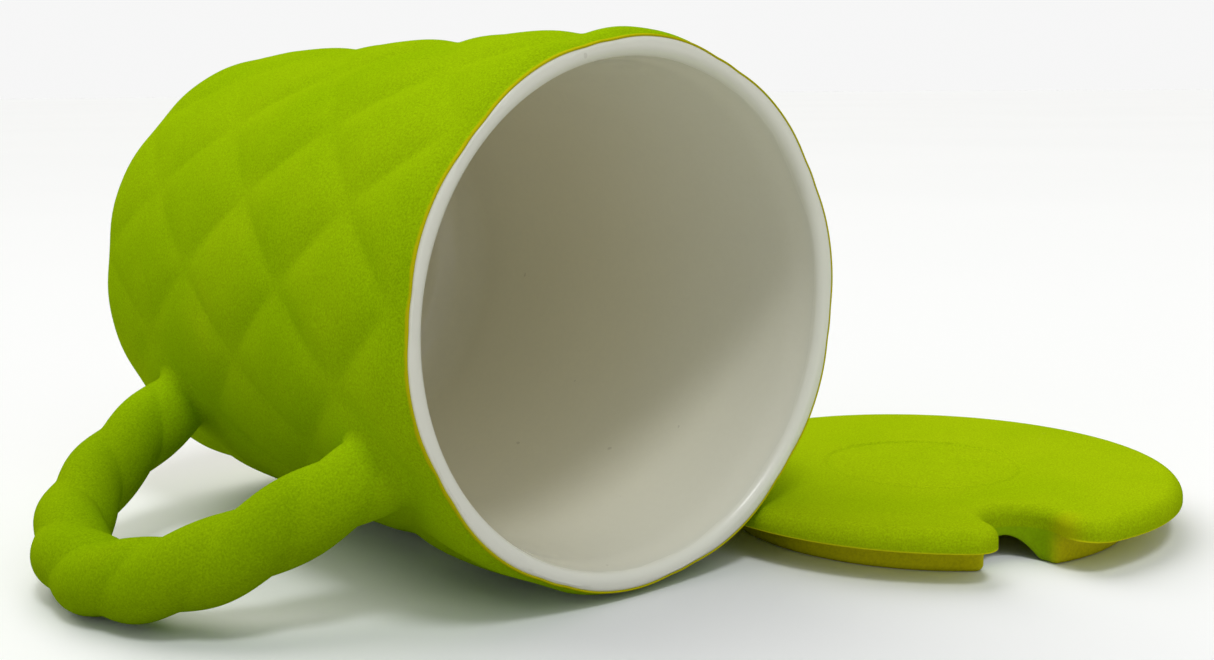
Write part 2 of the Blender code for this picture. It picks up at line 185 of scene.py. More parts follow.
def coating():
    n = 480
    th = TAU * np.arange(n) / n
    rows = [0.98, 1.1, 1.3, 1.6]
    s = 2.0
    while s < CORNER_START - 0.2:
        rows.append(s)
        s += 0.52
    rings = []
    edge = wall(th, np.full(n, 0.98))
    # the coating runs over the lip's outer rounding and stops in a soft edge
    for back, s in ((0.42, 0.60), (0.41, 0.38), (0.365, 0.23), (0.29, 0.15), (0.20, 0.12), (0.12, 0.16), (0.06, 0.27), (0.02, 0.46), (0.0, 0.72)):
        rings.append(mug_point(edge - back, th, s))
    for s in rows:
        rings.append(mug_point(wall(th, np.full(n, s)), th, s))
    for k in range(1, 19):
        a = math.radians(90 * k / 18)
        s = CORNER_START + BASE_ROUND * math.sin(a)
        r = CORNER_RADIUS - BASE_ROUND * (1 - math.cos(a))
        extra = (wall(th, np.full(n, s)) - crease_radius(s)) * math.cos(a) ** 1.6
        rings.append(mug_point(r + extra * math.cos(a), th, s + extra * math.sin(a)))
    for r in (CORNER_RADIUS - BASE_ROUND - 1.2, 31.0, 29.9, 29.55):
        rings.append(mug_point(np.full(n, r), th, BODY_LENGTH - (0.06 if r < 29.8 else 0)))
    rings.append(mug_point(np.full(n, 29.4), th, BODY_LENGTH - 0.22))
    rings.append(mug_point(np.full(n, 29.4), th, BODY_LENGTH - 0.45))
    for k in range(5, -1, -1):
        a = math.radians(90 * k / 5)
        rings.append(mug_point(CORNER_RADIUS - BASE_ROUND + (BASE_ROUND - 0.5) * math.cos(a), th,
                               CORNER_START + (BASE_ROUND - 0.5) * math.sin(a)))
    for s in (70.0, 45.0, 22.0, 5.0, 2.6):
        rings.append(mug_point(crease_radius(s) - 0.5, th, s))
    return loft("mug_coat", rings, wrap=True, sharp=60)


# --------------------------------------------------------------- glaze and body
def arc(cr, cs, radius, start, end, steps):
    return [(cr + radius * math.cos(math.radians(start + (end - start) * k / steps)),
             cs + radius * math.sin(math.radians(start + (end - start) * k / steps)))
            for k in range(steps + 1)]


def lining():
    n = 288
    th = TAU * np.arange(n) / n
    wave = 0.06 * np.sin(2 * th + 0.4) + 0.05 * np.sin(5 * th + 1.3)
    corner_s = INNER_DEPTH - INNER_ROUND
    rc = INNER_RADIUS - TAPER * corner_s - 0.35
    rings = [np.array([MUG + [0, INNER_DEPTH - 0.35, 0]])]
    for r in (2, 5, 9, 13, 17, 21, 25, rc - INNER_ROUND):
        sink = 0.35 * (1 - smoothstep(r / (rc - INNER_ROUND)))
        rings.append(mug_point(np.full(n, r), th, INNER_DEPTH - sink))
    for r, s in arc(rc - INNER_ROUND, corner_s, INNER_ROUND, 90, 0, 20)[1:]:
        rings.append(mug_point(r + wave * 0.3, th, s))
    s = corner_s - 2.0
    while s > 2.6:
        fade = smoothstep((s - 2) / 10)
        rings.append(mug_point(INNER_RADIUS - TAPER * s - 0.35 * smoothstep((s - 1.2) / 6.0) + wave * fade, th, s))
        s -= 1.0
    lip = 1.6                                            # rounding of the inner edge
    for k in range(13):
        a = math.radians(90 * k / 12)
        rings.append(mug_point(INNER_RADIUS - 0.02 + lip * (1 - math.cos(a)), th, lip * (1 - math.sin(a))))
    rings.append(mug_point(np.full(n, INNER_RADIUS + lip + 0.35), th, -0.02))
    edge = wall(th, np.full(n, 0.98))
    for back, s in ((0.90, 0.0), (0.72, 0.03), (0.56, 0.10), (0.44, 0.21), (0.36, 0.36), (0.31, 0.55), (0.31, 0.8), (0.45, 1.2)):
        rings.append(mug_point(edge - back, th, s))
    rings.append(mug_point(np.full(n, INNER_RADIUS + 0.5), th, 1.3))
    for s in (6, 30, 60, corner_s):
        rings.append(mug_point(np.full(n, INNER_RADIUS - TAPER * s + 0.5), th, s))
    for r, s in arc(rc - INNER_ROUND, corner_s, INNER_ROUND + 0.5, 0, 90, 8)[1:]:
        rings.append(mug_point(np.full(n, r), th, s))
    rings.append(np.array([MUG + [0, INNER_DEPTH + 0.5, 0]]))
    return loft("mug_lining", rings, sharp=60)


def core():
    n = 192
    th = TAU * np.arange(n) / n
    corner_s = INNER_DEPTH - INNER_ROUND
    rc = INNER_RADIUS - TAPER * corner_s
    off = 0.65
    profile = [(p, q) for p, q in arc(rc - INNER_ROUND, corner_s, INNER_ROUND + off, 90, 0, 10)]
    profile += [(INNER_RADIUS - TAPER * s + off, s) for s in (60, 30, 6)]
    profile += [(INNER_RADIUS + off, 1.5), (39.1, 1.5)]
    profile += [(float(crease_radius(s)) - 0.65, s) for s in (3.0, 6.0, 22.0, 45.0, 70.0)]
    profile += arc(CORNER_RADIUS - BASE_ROUND, CORNER_START, BASE_ROUND - 0.65, 0, 90, 10)
    # foot ring with a soft, slightly worn edge
    b, f = BODY_LENGTH, FOOT_HEIGHT
    profile += [(30.2, b - 0.62), (29.42, b - 0.6), (29.36, b - 0.05), (29.0, b + 0.03), (28.6, b + 0.16),
                (28.3, b + 0.42), (28.15, b + 0.78), (28.02, b + 1.05), (27.82, b + 1.26), (27.5, b + 1.37),
                (27.0, b + f), (26.2, b + f), (25.5, b + f), (25.1, b + 1.35), (24.8, b + 1.18), (24.62, b + 0.9),
                (24.5, b + 0.5), (24.3, b + 0.1), (23.9, b - 0.22), (23.3, b - 0.42), (22.5, b - 0.5), (17, b - 0.62),
                (11, b - 0.72), (5, b - 0.78)]
    rings = [np.array([MUG + [0, INNER_DEPTH + off, 0]])]
    for r, s in profile:
        wob = 0.05 * math.exp(-((s - b - 0.8) / 0.8) ** 2) * np.sin(7 * th + 1.0)
        rings.append(mug_point(r + wob, th, s))
    rings.append(np.array([MUG + [0, b - 0.8, 0]]))
    return loft("mug_core", rings, sharp=60)


# ------------------------------------------------------------------ rope handle
def spline(points, t):
    """Clamped uniform cubic B-spline, t in 0..1."""
    degree, n = 3, len(points)
    spans = n - degree
    knots = [0.0] * degree + [k / spans for k in range(spans + 1)] + [1.0] * degree
    t = min(max(t, 0.0), 1.0 - 1e-9)
    span = degree + int(t * spans)
    work = [np.array(points[span - degree + k], float) for k in range(degree + 1)]
    for level in range(1, degree + 1):
        for k in range(degree, level - 1, -1):
            lo, hi = knots[span - degree + k], knots[span + 1 + k - level]
            w = (t - lo) / (hi - lo)
            work[k] = work[k - 1] * (1 - w) + work[k] * w
    return work[degree]


SAMPLES = 1600
PATH = np.array([spline(HANDLE_PATH, k / SAMPLES) for k in range(SAMPLES + 1)])
ARC = np.concatenate([[0], np.cumsum(np.linalg.norm(np.diff(PATH, axis=0), axis=1))])
TANGENT = np.gradient(PATH, axis=0)
TANGENT /= np.linalg.norm(TANGENT, axis=1)[:, None]
OUT_DIR = np.array([math.sin(HANDLE_ANGLE), 0.0, math.cos(HANDLE_ANGLE)])      # away from the axis
DOWN_DIR = np.array([0.0, 1.0, 0.0])                                           # from the mouth to the foot
# same turn as the CAD handle: the normal of the handle's plane
PLANE_N = np.array([math.sin(HANDLE_ANGLE + math.pi / 2), 0.0, math.cos(HANDLE_ANGLE + math.pi / 2)])


def rope_point(length, a):
    """Point of the twisted rope's skin at a length along the centre line."""
    length = np.asarray(length, float)
    px = np.interp(length, ARC, PATH[:, 0])
    py = np.interp(length, ARC, PATH[:, 1])
    tx = np.interp(length, ARC, TANGENT[:, 0])
    ty = np.interp(length, ARC, TANGENT[:, 1])
    centre = MUG + px[..., None] * DOWN_DIR + py[..., None] * OUT_DIR
    tangent = tx[..., None] * DOWN_DIR + ty[..., None] * OUT_DIR
    tangent /= np.linalg.norm(tangent, axis=-1)[..., None]
    side = np.cross(np.broadcast_to(PLANE_N, tangent.shape), tangent)
    psi = a - TAU * length / ROPE_PITCH + ROPE_PHASE
    c = np.cos(a)
    radius = (STRAND_OFFSET * np.sqrt(c * c + GROOVE_SOFT ** 2)
              + np.sqrt(STRAND_RADIUS ** 2 - (STRAND_OFFSET * np.sin(a)) ** 2) - 0.02)
    return centre + (side * np.cos(psi)[..., None] + PLANE_N * np.sin(psi)[..., None]) * radius[..., None], centre


def to_mug(p):
    x, y, z = p[..., 0] - MUG[0], p[..., 1] - MUG[1], p[..., 2] - MUG[2]
    return np.hypot(x, z), np.arctan2(x, z), y


def clearance(p):
    r, th, s = to_mug(p)
    return r - wall(th, np.clip(s, 1.0, 95.0))


def rope_handle():
    n = 112
    # angles are spaced evenly; the ring is skewed by the twist, so start it on a fixed strand
    a = TAU * np.arange(n) / n

    def solve(target, first):
        """Length at which each line along the rope is at that distance from the wall."""
        lo = np.full(n, 0.0 if first else ARC[-1])
        start = 22.0 if first else ARC[-1] - 22.0
        hi = np.full(n, start)
        for _ in range(40):
            mid = (lo + hi) / 2
            inside = clearance(rope_point(mid, a)[0]) < target
            lo = np.where(inside, mid, lo)
            hi = np.where(inside, hi, mid)
        return (lo + hi) / 2

    def root(first):
        """Rings from the wall outwards, flared to meet the wall tangentially."""
        rings = []
        steps = 22
        for k in range(steps + 1):
            d = -0.45 + (ROOT_BLEND + 0.45) * (k / steps) ** 1.35
            length = solve(d, first)
            p, centre = rope_point(length, a)
            dd = min(max(d, 0.0) / ROOT_BLEND, 1.0)
            flare = ROOT_BLEND * (1 - math.sqrt(max(0.0, 1 - (1 - dd) ** 2)))
            if d < 0:
                flare += -d * 1.2
            r, th, s = to_mug(p)
            rc, tc, sc = to_mug(centre)
            # push away from the rope's centre, along the wall
            u = np.angle(np.exp(1j * (th - tc))) * r
            v = s - sc
            size = np.hypot(u, v)
            th2 = th + u / size * flare / r
            s2 = s + v / size * flare
            w = wall(th2, np.clip(s2, 1.0, 95.0))
            rings.append((mug_point(w + d, th2, s2), length))
        return rings

    top, bottom = root(True), root(False)
    start = top[-1][1]
    end = bottom[-1][1]
    blend = 7.0
    free0, free1 = start.max() + blend, end.min() - blend
    rings = [r for r, _ in top]
    for k in range(1, 22):
        u = k / 22
        rings.append(rope_point(start * (1 - u) + free0 * u, a)[0])
    rows = int((free1 - free0) / 0.36)
    for k in range(rows + 1):
        rings.append(rope_point(np.full(n, free0 + (free1 - free0) * k / rows), a)[0])
    for k in range(21, 0, -1):
        u = k / 22
        rings.append(rope_point(end * (1 - u) + free1 * u, a)[0])
    rings += [r for r, _ in reversed(bottom)]
    first_cap = rings[0].mean(0, keepdims=True)
    last_cap = rings[-1].mean(0, keepdims=True)
    return loft("rope_handle", [first_cap] + rings + [last_cap], sharp=75)


# -------------------------------------------------------------------------- lid
def turned(points, z):
    """Lid outline in the notch's frame to the row frame."""
    c, s = math.cos(NOTCH_ANGLE), math.sin(NOTCH_ANGLE)
    p = np.asarray(points, float)
    z = np.broadcast_to(np.asarray(z, float), p.shape[:-1])
    return np.stack([LID[0] + p[..., 0] * c - p[..., 1] * s, LID[1] + p[..., 0] * s + p[..., 1] * c, z], -1)


def outline(inset, steps_round=300, steps_corner=18, steps_wall=4, steps_end=48):
    """The plate's outline moved in by an inset, its share of notch at each point, and an inner angle."""
    radius, half, left, right = LID_RADIUS, NOTCH_HALF, NOTCH_CORNER_L, NOTCH_CORNER_R

    def turn(cx, cy, r, a0, a1, steps):
        t = np.linspace(a0, a1, steps + 1)
        return np.stack([cx + r * np.cos(t), cy + r * np.sin(t)], -1)
    xr = math.sqrt((radius - right) ** 2 - (half + right) ** 2)
    xl = math.sqrt((radius - left) ** 2 - (half + left) ** 2)
    ar = math.atan2(-(half + right), xr)
    al = math.atan2(half + left, xl)
    deep = NOTCH_END + half
    parts = [turn(0, 0, radius - inset, al, TAU + ar, steps_round)[:-1],
             turn(xr, -(half + right), right - inset, ar, math.pi / 2, steps_corner),
             np.stack([np.linspace(xr, deep, steps_wall + 1), np.full(steps_wall + 1, -(half + inset))], -1)[1:-1],
             turn(deep, 0, half + inset, -math.pi / 2, -3 * math.pi / 2, steps_end),
             np.stack([np.linspace(deep, xl, steps_wall + 1), np.full(steps_wall + 1, half + inset)], -1)[1:-1],
             turn(xl, half + left, left - inset, -math.pi / 2, al, steps_corner)[:-1]]
    share = [np.zeros(len(parts[0])), smoothstep(np.linspace(0, 1.15, len(parts[1]))), np.ones(len(parts[2])),
             np.ones(len(parts[3])), np.ones(len(parts[4])), smoothstep(np.linspace(1.15, 0, len(parts[5]) + 1))[:-1]]
    deg = [np.linspace(42, 318, len(parts[0]) + 1)[:-1], np.linspace(318, 329, len(parts[1])),
           np.linspace(329, 334, len(parts[2]) + 2)[1:-1], np.linspace(334, 386, len(parts[3])),
           np.linspace(386, 391, len(parts[4]) + 2)[1:-1], np.linspace(391, 402, len(parts[5]) + 1)[:-1]]
    return np.concatenate(parts), np.concatenate(share), np.radians(np.concatenate(deg))


def lid_plate():
    rings = []
    share = outline(0.0)[1]
    angle = outline(0.0)[2]

    def level(inset, inset_notch, z, z_notch):
        p = outline(inset)[0] * (1 - share)[:, None] + outline(inset_notch)[0] * share[:, None]
        rings.append(turned(p, z * (1 - share) + z_notch * share))

    low = 0.35
    for k in range(6):
        a = math.radians(90 * k / 5)
        level(low * (1 - math.sin(a)), 0.0, PLATE_BOTTOM + low * (1 - math.cos(a)),
              PLATE_BOTTOM + 0.3 * low * (1 - math.cos(a)))
    top = PLATE_BOTTOM + PLATE_THICK
    big, small = PLATE_ROUND, PLATE_ROUND * NOTCH_ROUND
    for k in range(0, 17):
        a = math.radians(90 * k / 16)
        level(big * (1 - math.cos(a)), small * (1 - math.cos(a)), top - big * (1 - math.sin(a)), top - small * (1 - math.sin(a)))
    n = len(share)
    unit = np.stack([np.cos(angle), np.sin(angle)], -1)
    for r in (22.5, 20.5, 19.2, 18.4, 17.95, 17.6, 17.35, 17.15, 16.95, 16.75, 16.55, 16.35, 16.15, 15.9, 15.6, 15.2, 14.6,
              13.5, 11.0, 8.0, 5.0, 2.5):
        drop = (DISH_DEPTH * smoothstep((DISH_RADIUS + 0.6 - r) / 1.4)
                + GROOVE_DEPTH * math.exp(-((r - DISH_RADIUS + 0.1) / 0.48) ** 2))
        rings.append(turned(unit * r, top - drop))
    verts = np.concatenate(rings + [np.array([[LID[0], LID[1], top - DISH_DEPTH]])])
    faces = []
    for a in range(len(rings) - 1):
        for k in range(n):
            q = (k + 1) % n
            faces.append((a * n + k, a * n + q, (a + 1) * n + q, (a + 1) * n + k))
    last_ring = (len(rings) - 1) * n
    for k in range(n):
        faces.append((last_ring + k, last_ring + (k + 1) % n, len(verts) - 1))
    me = bpy.data.meshes.new("lid_top")
    me.from_pydata((verts * MM).tolist(), [], faces + [tuple(range(n - 1, -1, -1))])
    me.update()
    me.shade_smooth()
    me.set_sharp_from_angle(angle=math.radians(50))
    obj = bpy.data.objects.new("lid_top", me)
    bpy.context.scene.collection.objects.link(obj)
    return obj


def collar_outline(inset, corner=1.3):
    """Plan of the collar's outer wall with the notch cut in it, moved in by an inset."""
    deep, half, radius = NOTCH_END + NOTCH_HALF, NOTCH_HALF, COLLAR_RADIUS
    x = ((radius - corner) ** 2 - (half + corner) ** 2 + deep ** 2) / (2 * deep)
    y = math.sqrt((radius - corner) ** 2 - x * x)
    phi = math.atan2(y, x)
    toward = math.atan2(y, deep - x)

    def turn(cx, cy, r, a0, a1, steps):
        t = np.linspace(a0, a1, steps + 1)
        return np.stack([cx + r * np.cos(t), cy + r * np.sin(t)], -1)
    start = math.atan2(-y, x - deep)
    return np.concatenate([turn(0, 0, radius - inset, phi, TAU - phi, 300)[:-1],
                           turn(x, -y, corner - inset, -phi, toward, 14)[:-1],
                           turn(deep, 0, half + inset, start, -TAU - start, 60)[:-1],
                           turn(x, y, corner - inset, -toward, phi, 14)[:-1]])


def under(r):
    """Height of the collar's underside: the flat foot, then the slope up to the plate."""
    rise = (31.45 - r) * 1.2
    return np.where(rise > 0.6, rise, np.where(rise < -0.6, 0.0, (rise + 0.6) ** 2 / 2.4))


def lid_collar():
    top = PLATE_BOTTOM + 0.04
    edge = 1.1
    rings = []
    wall_line = collar_outline(0.0)
    base = np.minimum(under(np.hypot(wall_line[:, 0], wall_line[:, 1])), top - edge - 0.4) + edge
    for k in range(6):
        rings.append(turned(wall_line, top + (base - top) * k / 5))
    for k in range(1, 10):
        a = math.radians(90 * k / 9)
        line = collar_outline(edge * (1 - math.cos(a)))
        low = np.minimum(under(np.hypot(line[:, 0], line[:, 1])), top - edge - 0.4)
        rings.append(turned(line, low + edge * (1 - math.sin(a))))
    r0 = np.hypot(line[:, 0], line[:, 1])
    unit = line / r0[:, None]
    for k in range(1, 17):
        r = r0 + (COLLAR_ROOT - r0) * k / 16
        rings.append(turned(unit * r[:, None], np.minimum(under(r), top - 0.001)))
    return loft("lid_ring", rings, wrap=True, sharp=55)


# -------------------------------------------------------------------- materials
class Nodes:
    """Short helper for building a material."""

    def __init__(self, name):
        self.mat = bpy.data.materials.new(name)
        self.mat.use_nodes = True
        self.tree = self.mat.node_tree
        self.shader = self.tree.nodes["Principled BSDF"]
        self.coord = self.tree.nodes.new("ShaderNodeTexCoord").outputs["Object"]

    def add(self, kind, **values):
        node = self.tree.nodes.new(kind)
        for key, value in values.items():
            setattr(node, key, value)
        return node

    def link(self, a, b):
        self.tree.links.new(a, b)

    def noise(self, scale, detail=2.0, rough=0.5, coord=None, distortion=0.0):
        node = self.add("ShaderNodeTexNoise")
        node.inputs["Scale"].default_value = scale
        node.inputs["Detail"].default_value = detail
        node.inputs["Roughness"].default_value = rough
        node.inputs["Distortion"].default_value = distortion
        self.link(coord or self.coord, node.inputs["Vector"])
        return node.outputs["Fac"]

    def remap(self, value, a, b, c=0.0, d=1.0, smooth=True):
        node = self.add("ShaderNodeMapRange")
        node.interpolation_type = "SMOOTHSTEP" if smooth else "LINEAR"
        self.link(value, node.inputs["Value"])
        for key, v in zip(("From Min", "From Max", "To Min", "To Max"), (a, b, c, d)):
            node.inputs[key].default_value = v
        return node.outputs["Result"]

    def mix(self, fac, a, b, blend="MIX"):
        node = self.add("ShaderNodeMix", data_type="RGBA", blend_type=blend)
        for socket, v in ((node.inputs[0], fac), (node.inputs[6], a), (node.inputs[7], b)):
            if isinstance(v, bpy.types.NodeSocket):
                self.link(v, socket)
            elif isinstance(v, tuple):
                socket.default_value = (*v, 1.0)
            else:
                socket.default_value = v
        return node.outputs[2]

    def math(self, op, a, b=None):
        node = self.add("ShaderNodeMath", operation=op)
        for k, v in enumerate((a, b)):
            if v is None:
                continue
            if isinstance(v, bpy.types.NodeSocket):
                self.link(v, node.inputs[k])
            else:
                node.inputs[k].default_value = v
        return node.outputs[0]

    def axis(self, which):
        node = self.add("ShaderNodeSeparateXYZ")
        self.link(self.coord, node.inputs[0])
        return node.outputs[which]

    def bump(self, height, strength, distance, before=None):
        node = self.add("ShaderNodeBump")
        node.inputs["Strength"].default_value = strength
        node.inputs["Distance"].default_value = distance
        self.link(height, node.inputs["Height"])
        if before is not None:
            self.link(before, node.inputs["Normal"])
        return node.outputs["Normal"]


def srgb(r, g, b):
    return tuple(c / 255 / 12.92 if c / 255 <= 0.04045 else ((c / 255 + 0.055) / 1.055) ** 2.4 for c in (r, g, b))


LIME = (0.315, 0.500, 0.0022)
LIME_DEEP = (0.280, 0.468, 0.0015)
LIME_WARM = (0.345, 0.510, 0.0030)
EDGE = (0.52, 0.49, 0.004)


def notch_distance(m, across=0.0, along=NOTCH_END + NOTCH_HALF):
    """Distance from a point on the notch's middle line, its round end's middle unless told otherwise, seen from above."""
    flat = m.add("ShaderNodeCombineXYZ")
    m.link(m.axis(0), flat.inputs[0])
    m.link(m.axis(1), flat.inputs[1])
    away = m.add("ShaderNodeVectorMath", operation="DISTANCE")
    m.link(flat.outputs[0], away.inputs[0])
    away.inputs[1].default_value = tuple(turned([[along, across]], 0.0)[0] * MM)
    return away.outputs["Value"]


def lime(name, edge=None, deep=LIME_DEEP, pale=LIME):
    m = Nodes(name)
    broad = m.remap(m.noise(38, 3, 0.55), 0.32, 0.68)
    colour = m.mix(broad, deep, pale)
    patches = m.remap(m.noise(95, 4, 0.6, distortion=0.3), 0.55, 0.8, 0.0, 0.45)
    colour = m.mix(patches, colour, LIME_WARM)
    grain = m.noise(3500, 2, 0.65)
    speck = m.remap(grain, 0.3, 0.7, 0.79, 1.21, smooth=False)
    tone = m.add("ShaderNodeCombineColor")
    for k in range(3):
        m.link(speck, tone.inputs[k])
    colour = m.mix(1.0, colour, tone.outputs[0], "MULTIPLY")
    # rare paler flecks in the coating
    flecks = m.remap(m.noise(620, 1, 0.4), 0.80, 0.86, 0.0, 0.5)
    colour = m.mix(flecks, colour, (0.50, 0.60, 0.03))
    if edge == "rim":
        # a yellow-olive band where the coat ends on the lip
        y = m.axis(1)
        jitter = m.math("MULTIPLY", m.math("SUBTRACT", m.noise(420, 2, 0.5), 0.5), 0.0009)
        edge_band = m.remap(m.math("ADD", y, jitter), (MUG[1] + 0.22) * MM, (MUG[1] + 0.80) * MM, 1.0, 0.0)
        colour = m.mix(edge_band, colour, EDGE)
    if edge == "root":
        # painted shade: the handle's coat is darkened away from the wall, standing in for the mug's shadow and the
        # weak floor bounce on the handle, and runs into the wall's colour at the roots
        place = m.add("ShaderNodeCombineXYZ")
        m.link(m.axis(0), place.inputs[0])
        m.link(m.axis(2), place.inputs[2])
        reach = m.add("ShaderNodeVectorMath", operation="DISTANCE")
        m.link(place.outputs[0], reach.inputs[0])
        reach.inputs[1].default_value = (MUG[0] * MM, 0.0, MUG[2] * MM)
        shade = m.remap(reach.outputs["Value"], 0.0425, 0.0560, 0.0, 1.0)
        colour = m.mix(shade, colour, m.mix(1.0, colour, (0.77, 0.78, 0.74), "MULTIPLY"))
    if edge == "plate":
        z = m.axis(2)
        # painted highlight: a bright yellow line along the plate's bottom edge stands in for floor light caught by
        # the small rounding there, kept off the notch
        thin_lip_and_edge_glint = m.remap(z, (PLATE_BOTTOM + 0.12) * MM, (PLATE_BOTTOM + 0.42) * MM, 0.95, 0.0)
        thin_lip_and_edge_glint = m.math("MULTIPLY", thin_lip_and_edge_glint, m.remap(notch_distance(m), 0.0060, 0.0086, 0.0, 1.0))
        # painted highlight: a yellow-olive spot on the notch's outer corner, at the plate's bottom edge
        corner = m.add("ShaderNodeVectorMath", operation="DISTANCE")
        place = m.add("ShaderNodeCombineXYZ")
        for k in range(3):
            m.link(m.axis(k), place.inputs[k])
        m.link(place.outputs[0], corner.inputs[0])
        spot = turned([[36.4, 6.1]], 0.0)[0]
        corner.inputs[1].default_value = (spot[0] * MM, spot[1] * MM, (PLATE_BOTTOM + 0.4) * MM)
        notch_corner_highlight = m.remap(corner.outputs["Value"], 0.0010, 0.0050, 0.46, 0.0)
        colour = m.mix(notch_corner_highlight, colour, (0.52, 0.46, 0.004))
        colour = m.mix(thin_lip_and_edge_glint, colour, (0.78, 0.80, 0.010))
    m.link(colour, m.shader.inputs["Base Color"])
    rough = m.remap(m.noise(150, 3, 0.5), 0.3, 0.7, 0.50, 0.60)
    m.link(rough, m.shader.inputs["Roughness"])
    m.shader.inputs["Specular IOR Level"].default_value = 0.0
    normal = m.bump(grain, 0.35, 0.00006)
    normal = m.bump(m.noise(300, 3, 0.5), 0.12, 0.0003, normal)
    m.link(normal, m.shader.inputs["Normal"])
    return m.mat


def glaze():
    m = Nodes("white_glaze")
    broad = m.remap(m.noise(22, 3, 0.5), 0.3, 0.7)
    colour = m.mix(broad, (0.947, 0.914, 0.738), (0.957, 0.928, 0.762))
    # painted light: warmer and brighter in the depth of the mug, standing in for the warm light bouncing inside it,
    # cooler and darker towards the mouth
    mouth = m.remap(m.axis(1), (MUG[1] + 2) * MM, (MUG[1] + 62) * MM, 0.8, 0.0)
    colour = m.mix(mouth, colour, (0.895, 0.905, 0.800))
    fine = m.remap(m.noise(900, 2, 0.6), 0.3, 0.7, 0.0, 0.12)
    colour = m.mix(fine, colour, (0.84, 0.825, 0.70))
    # the glaze runs thin over the lip and lets the body show through
    thin_lip_and_edge_glint = m.remap(m.axis(1), (MUG[1] + 0.4) * MM, (MUG[1] + 3.5) * MM, 1.0, 0.0)
    colour = m.mix(thin_lip_and_edge_glint, colour, (0.865, 0.880, 0.780))
    specks = m.remap(m.noise(520, 0.0, 0.3), 0.885, 0.90, 0.0, 0.20)
    colour = m.mix(specks, colour, (0.24, 0.20, 0.13))
    m.link(colour, m.shader.inputs["Base Color"])
    rough = m.remap(m.noise(70, 3, 0.5), 0.3, 0.7, 0.09, 0.17)
    rough = m.math("ADD", rough, m.math("MULTIPLY", thin_lip_and_edge_glint, 0.20))       # duller where it is thin
    m.link(rough, m.shader.inputs["Roughness"])
    m.shader.inputs["Specular IOR Level"].default_value = 0.5
    m.shader.inputs["Coat Weight"].default_value = 0.15
    m.shader.inputs["Coat Roughness"].default_value = 0.12
    normal = m.bump(m.noise(130, 2, 0.5), 0.10, 0.0003)
    m.link(normal, m.shader.inputs["Normal"])
    return m.mat


def olive():
    m = Nodes("olive_glaze")
    broad = m.remap(m.noise(60, 3, 0.55), 0.3, 0.7)
    colour = m.mix(broad, (0.60, 0.58, 0.004), (0.68, 0.655, 0.006))
    # the upper edge, next to the plate, is greener
    z = m.axis(2)
    colour = m.mix(m.remap(z, 0.0030, 0.0052, 0.0, 0.35), colour, LIME)
    # the coating runs down the notch's wall
    ragged = m.math("ADD", notch_distance(m, 0.5, 30.5), m.math("MULTIPLY", m.math("SUBTRACT", m.noise(300, 2, 0.5), 0.5), 0.0006))
    colour = m.mix(m.remap(ragged, 0.0050, 0.0080, 1.0, 0.0), colour, LIME_DEEP)
    grain = m.noise(2400, 2, 0.6)
    speck = m.remap(grain, 0.3, 0.7, 0.90, 1.10, smooth=False)
    tone = m.add("ShaderNodeCombineColor")
    for k in range(3):
        m.link(speck, tone.inputs[k])
    colour = m.mix(1.0, colour, tone.outputs[0], "MULTIPLY")
    m.link(colour, m.shader.inputs["Base Color"])
    rough = m.remap(m.noise(130, 3, 0.5), 0.3, 0.7, 0.44, 0.54)
    m.link(rough, m.shader.inputs["Roughness"])
    m.shader.inputs["Specular IOR Level"].default_value = 0.04
    normal = m.bump(grain, 0.2, 0.00005)
    normal = m.bump(m.noise(240, 3, 0.5), 0.15, 0.0003, normal)
    m.link(normal, m.shader.inputs["Normal"])
    return m.mat


def bare():
    m = Nodes("bare_ceramic")
    broad = m.remap(m.noise(45, 4, 0.6), 0.3, 0.7)
    colour = m.mix(broad, (0.52, 0.47, 0.38), (0.63, 0.59, 0.50))
    specks = m.remap(m.noise(1400, 1, 0.4), 0.70, 0.80, 0.0, 0.6)
    colour = m.mix(specks, colour, (0.30, 0.24, 0.16))
    # grime where the foot ring rubs
    y = m.axis(1)
    edge_band = m.remap(y, (MUG[1] + BODY_LENGTH + 1.15) * MM, (MUG[1] + BODY_LENGTH + 1.4) * MM, 0.0, 0.35)
    colour = m.mix(edge_band, colour, (0.40, 0.36, 0.29))
    m.link(colour, m.shader.inputs["Base Color"])
    rough = m.remap(m.noise(200, 3, 0.5), 0.3, 0.7, 0.68, 0.82)
    m.link(rough, m.shader.inputs["Roughness"])
    normal = m.bump(m.noise(1500, 3, 0.6), 0.35, 0.00012)
    m.link(normal, m.shader.inputs["Normal"])
    return m.mat


# ---------------------------------------------------------------------- assembly
coat_mat = lime("lime_coating", "rim")
# painted light: the lid's lime is a warmer copy of the mug's, standing in for the warm top light on its flat top
LID_DEEP, LID_PALE = (0.305, 0.462, 0.0016), (0.345, 0.494, 0.0026)
pieces = [
    (coating(), coat_mat, "mug", ("outer_coating",), "lime_coating"),
    (rope_handle(), lime("lime_rope", "root"), "mug", ("handle", "upper_handle_joint", "lower_handle_joint"), "lime_coating"),
    (lining(), glaze(), "mug", ("inner_glaze",), "white_glaze"),
    (core(), bare(), "mug", ("mug_body",), "bare_ceramic"),
    (lid_plate(), lime("lime_plate", "plate", LID_DEEP, LID_PALE), "lid", ("lid_plate",), "lime_coating"),
    (lid_collar(), olive(), "lid", ("lid_collar",), "olive_glaze"),
]
for obj, mat, body, nodes, slot in pieces:
    obj.data.materials.append(mat)
    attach(obj, body)
    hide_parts(*nodes)


# ------------------------------------------------------------------------- stage
KEY = 1.96
SIDE = 0.80
FRONT = 1.95
LEFT = 1.4
MOUTH = 0.45
AMBIENT = 0.285
BACKDROP = 0.927


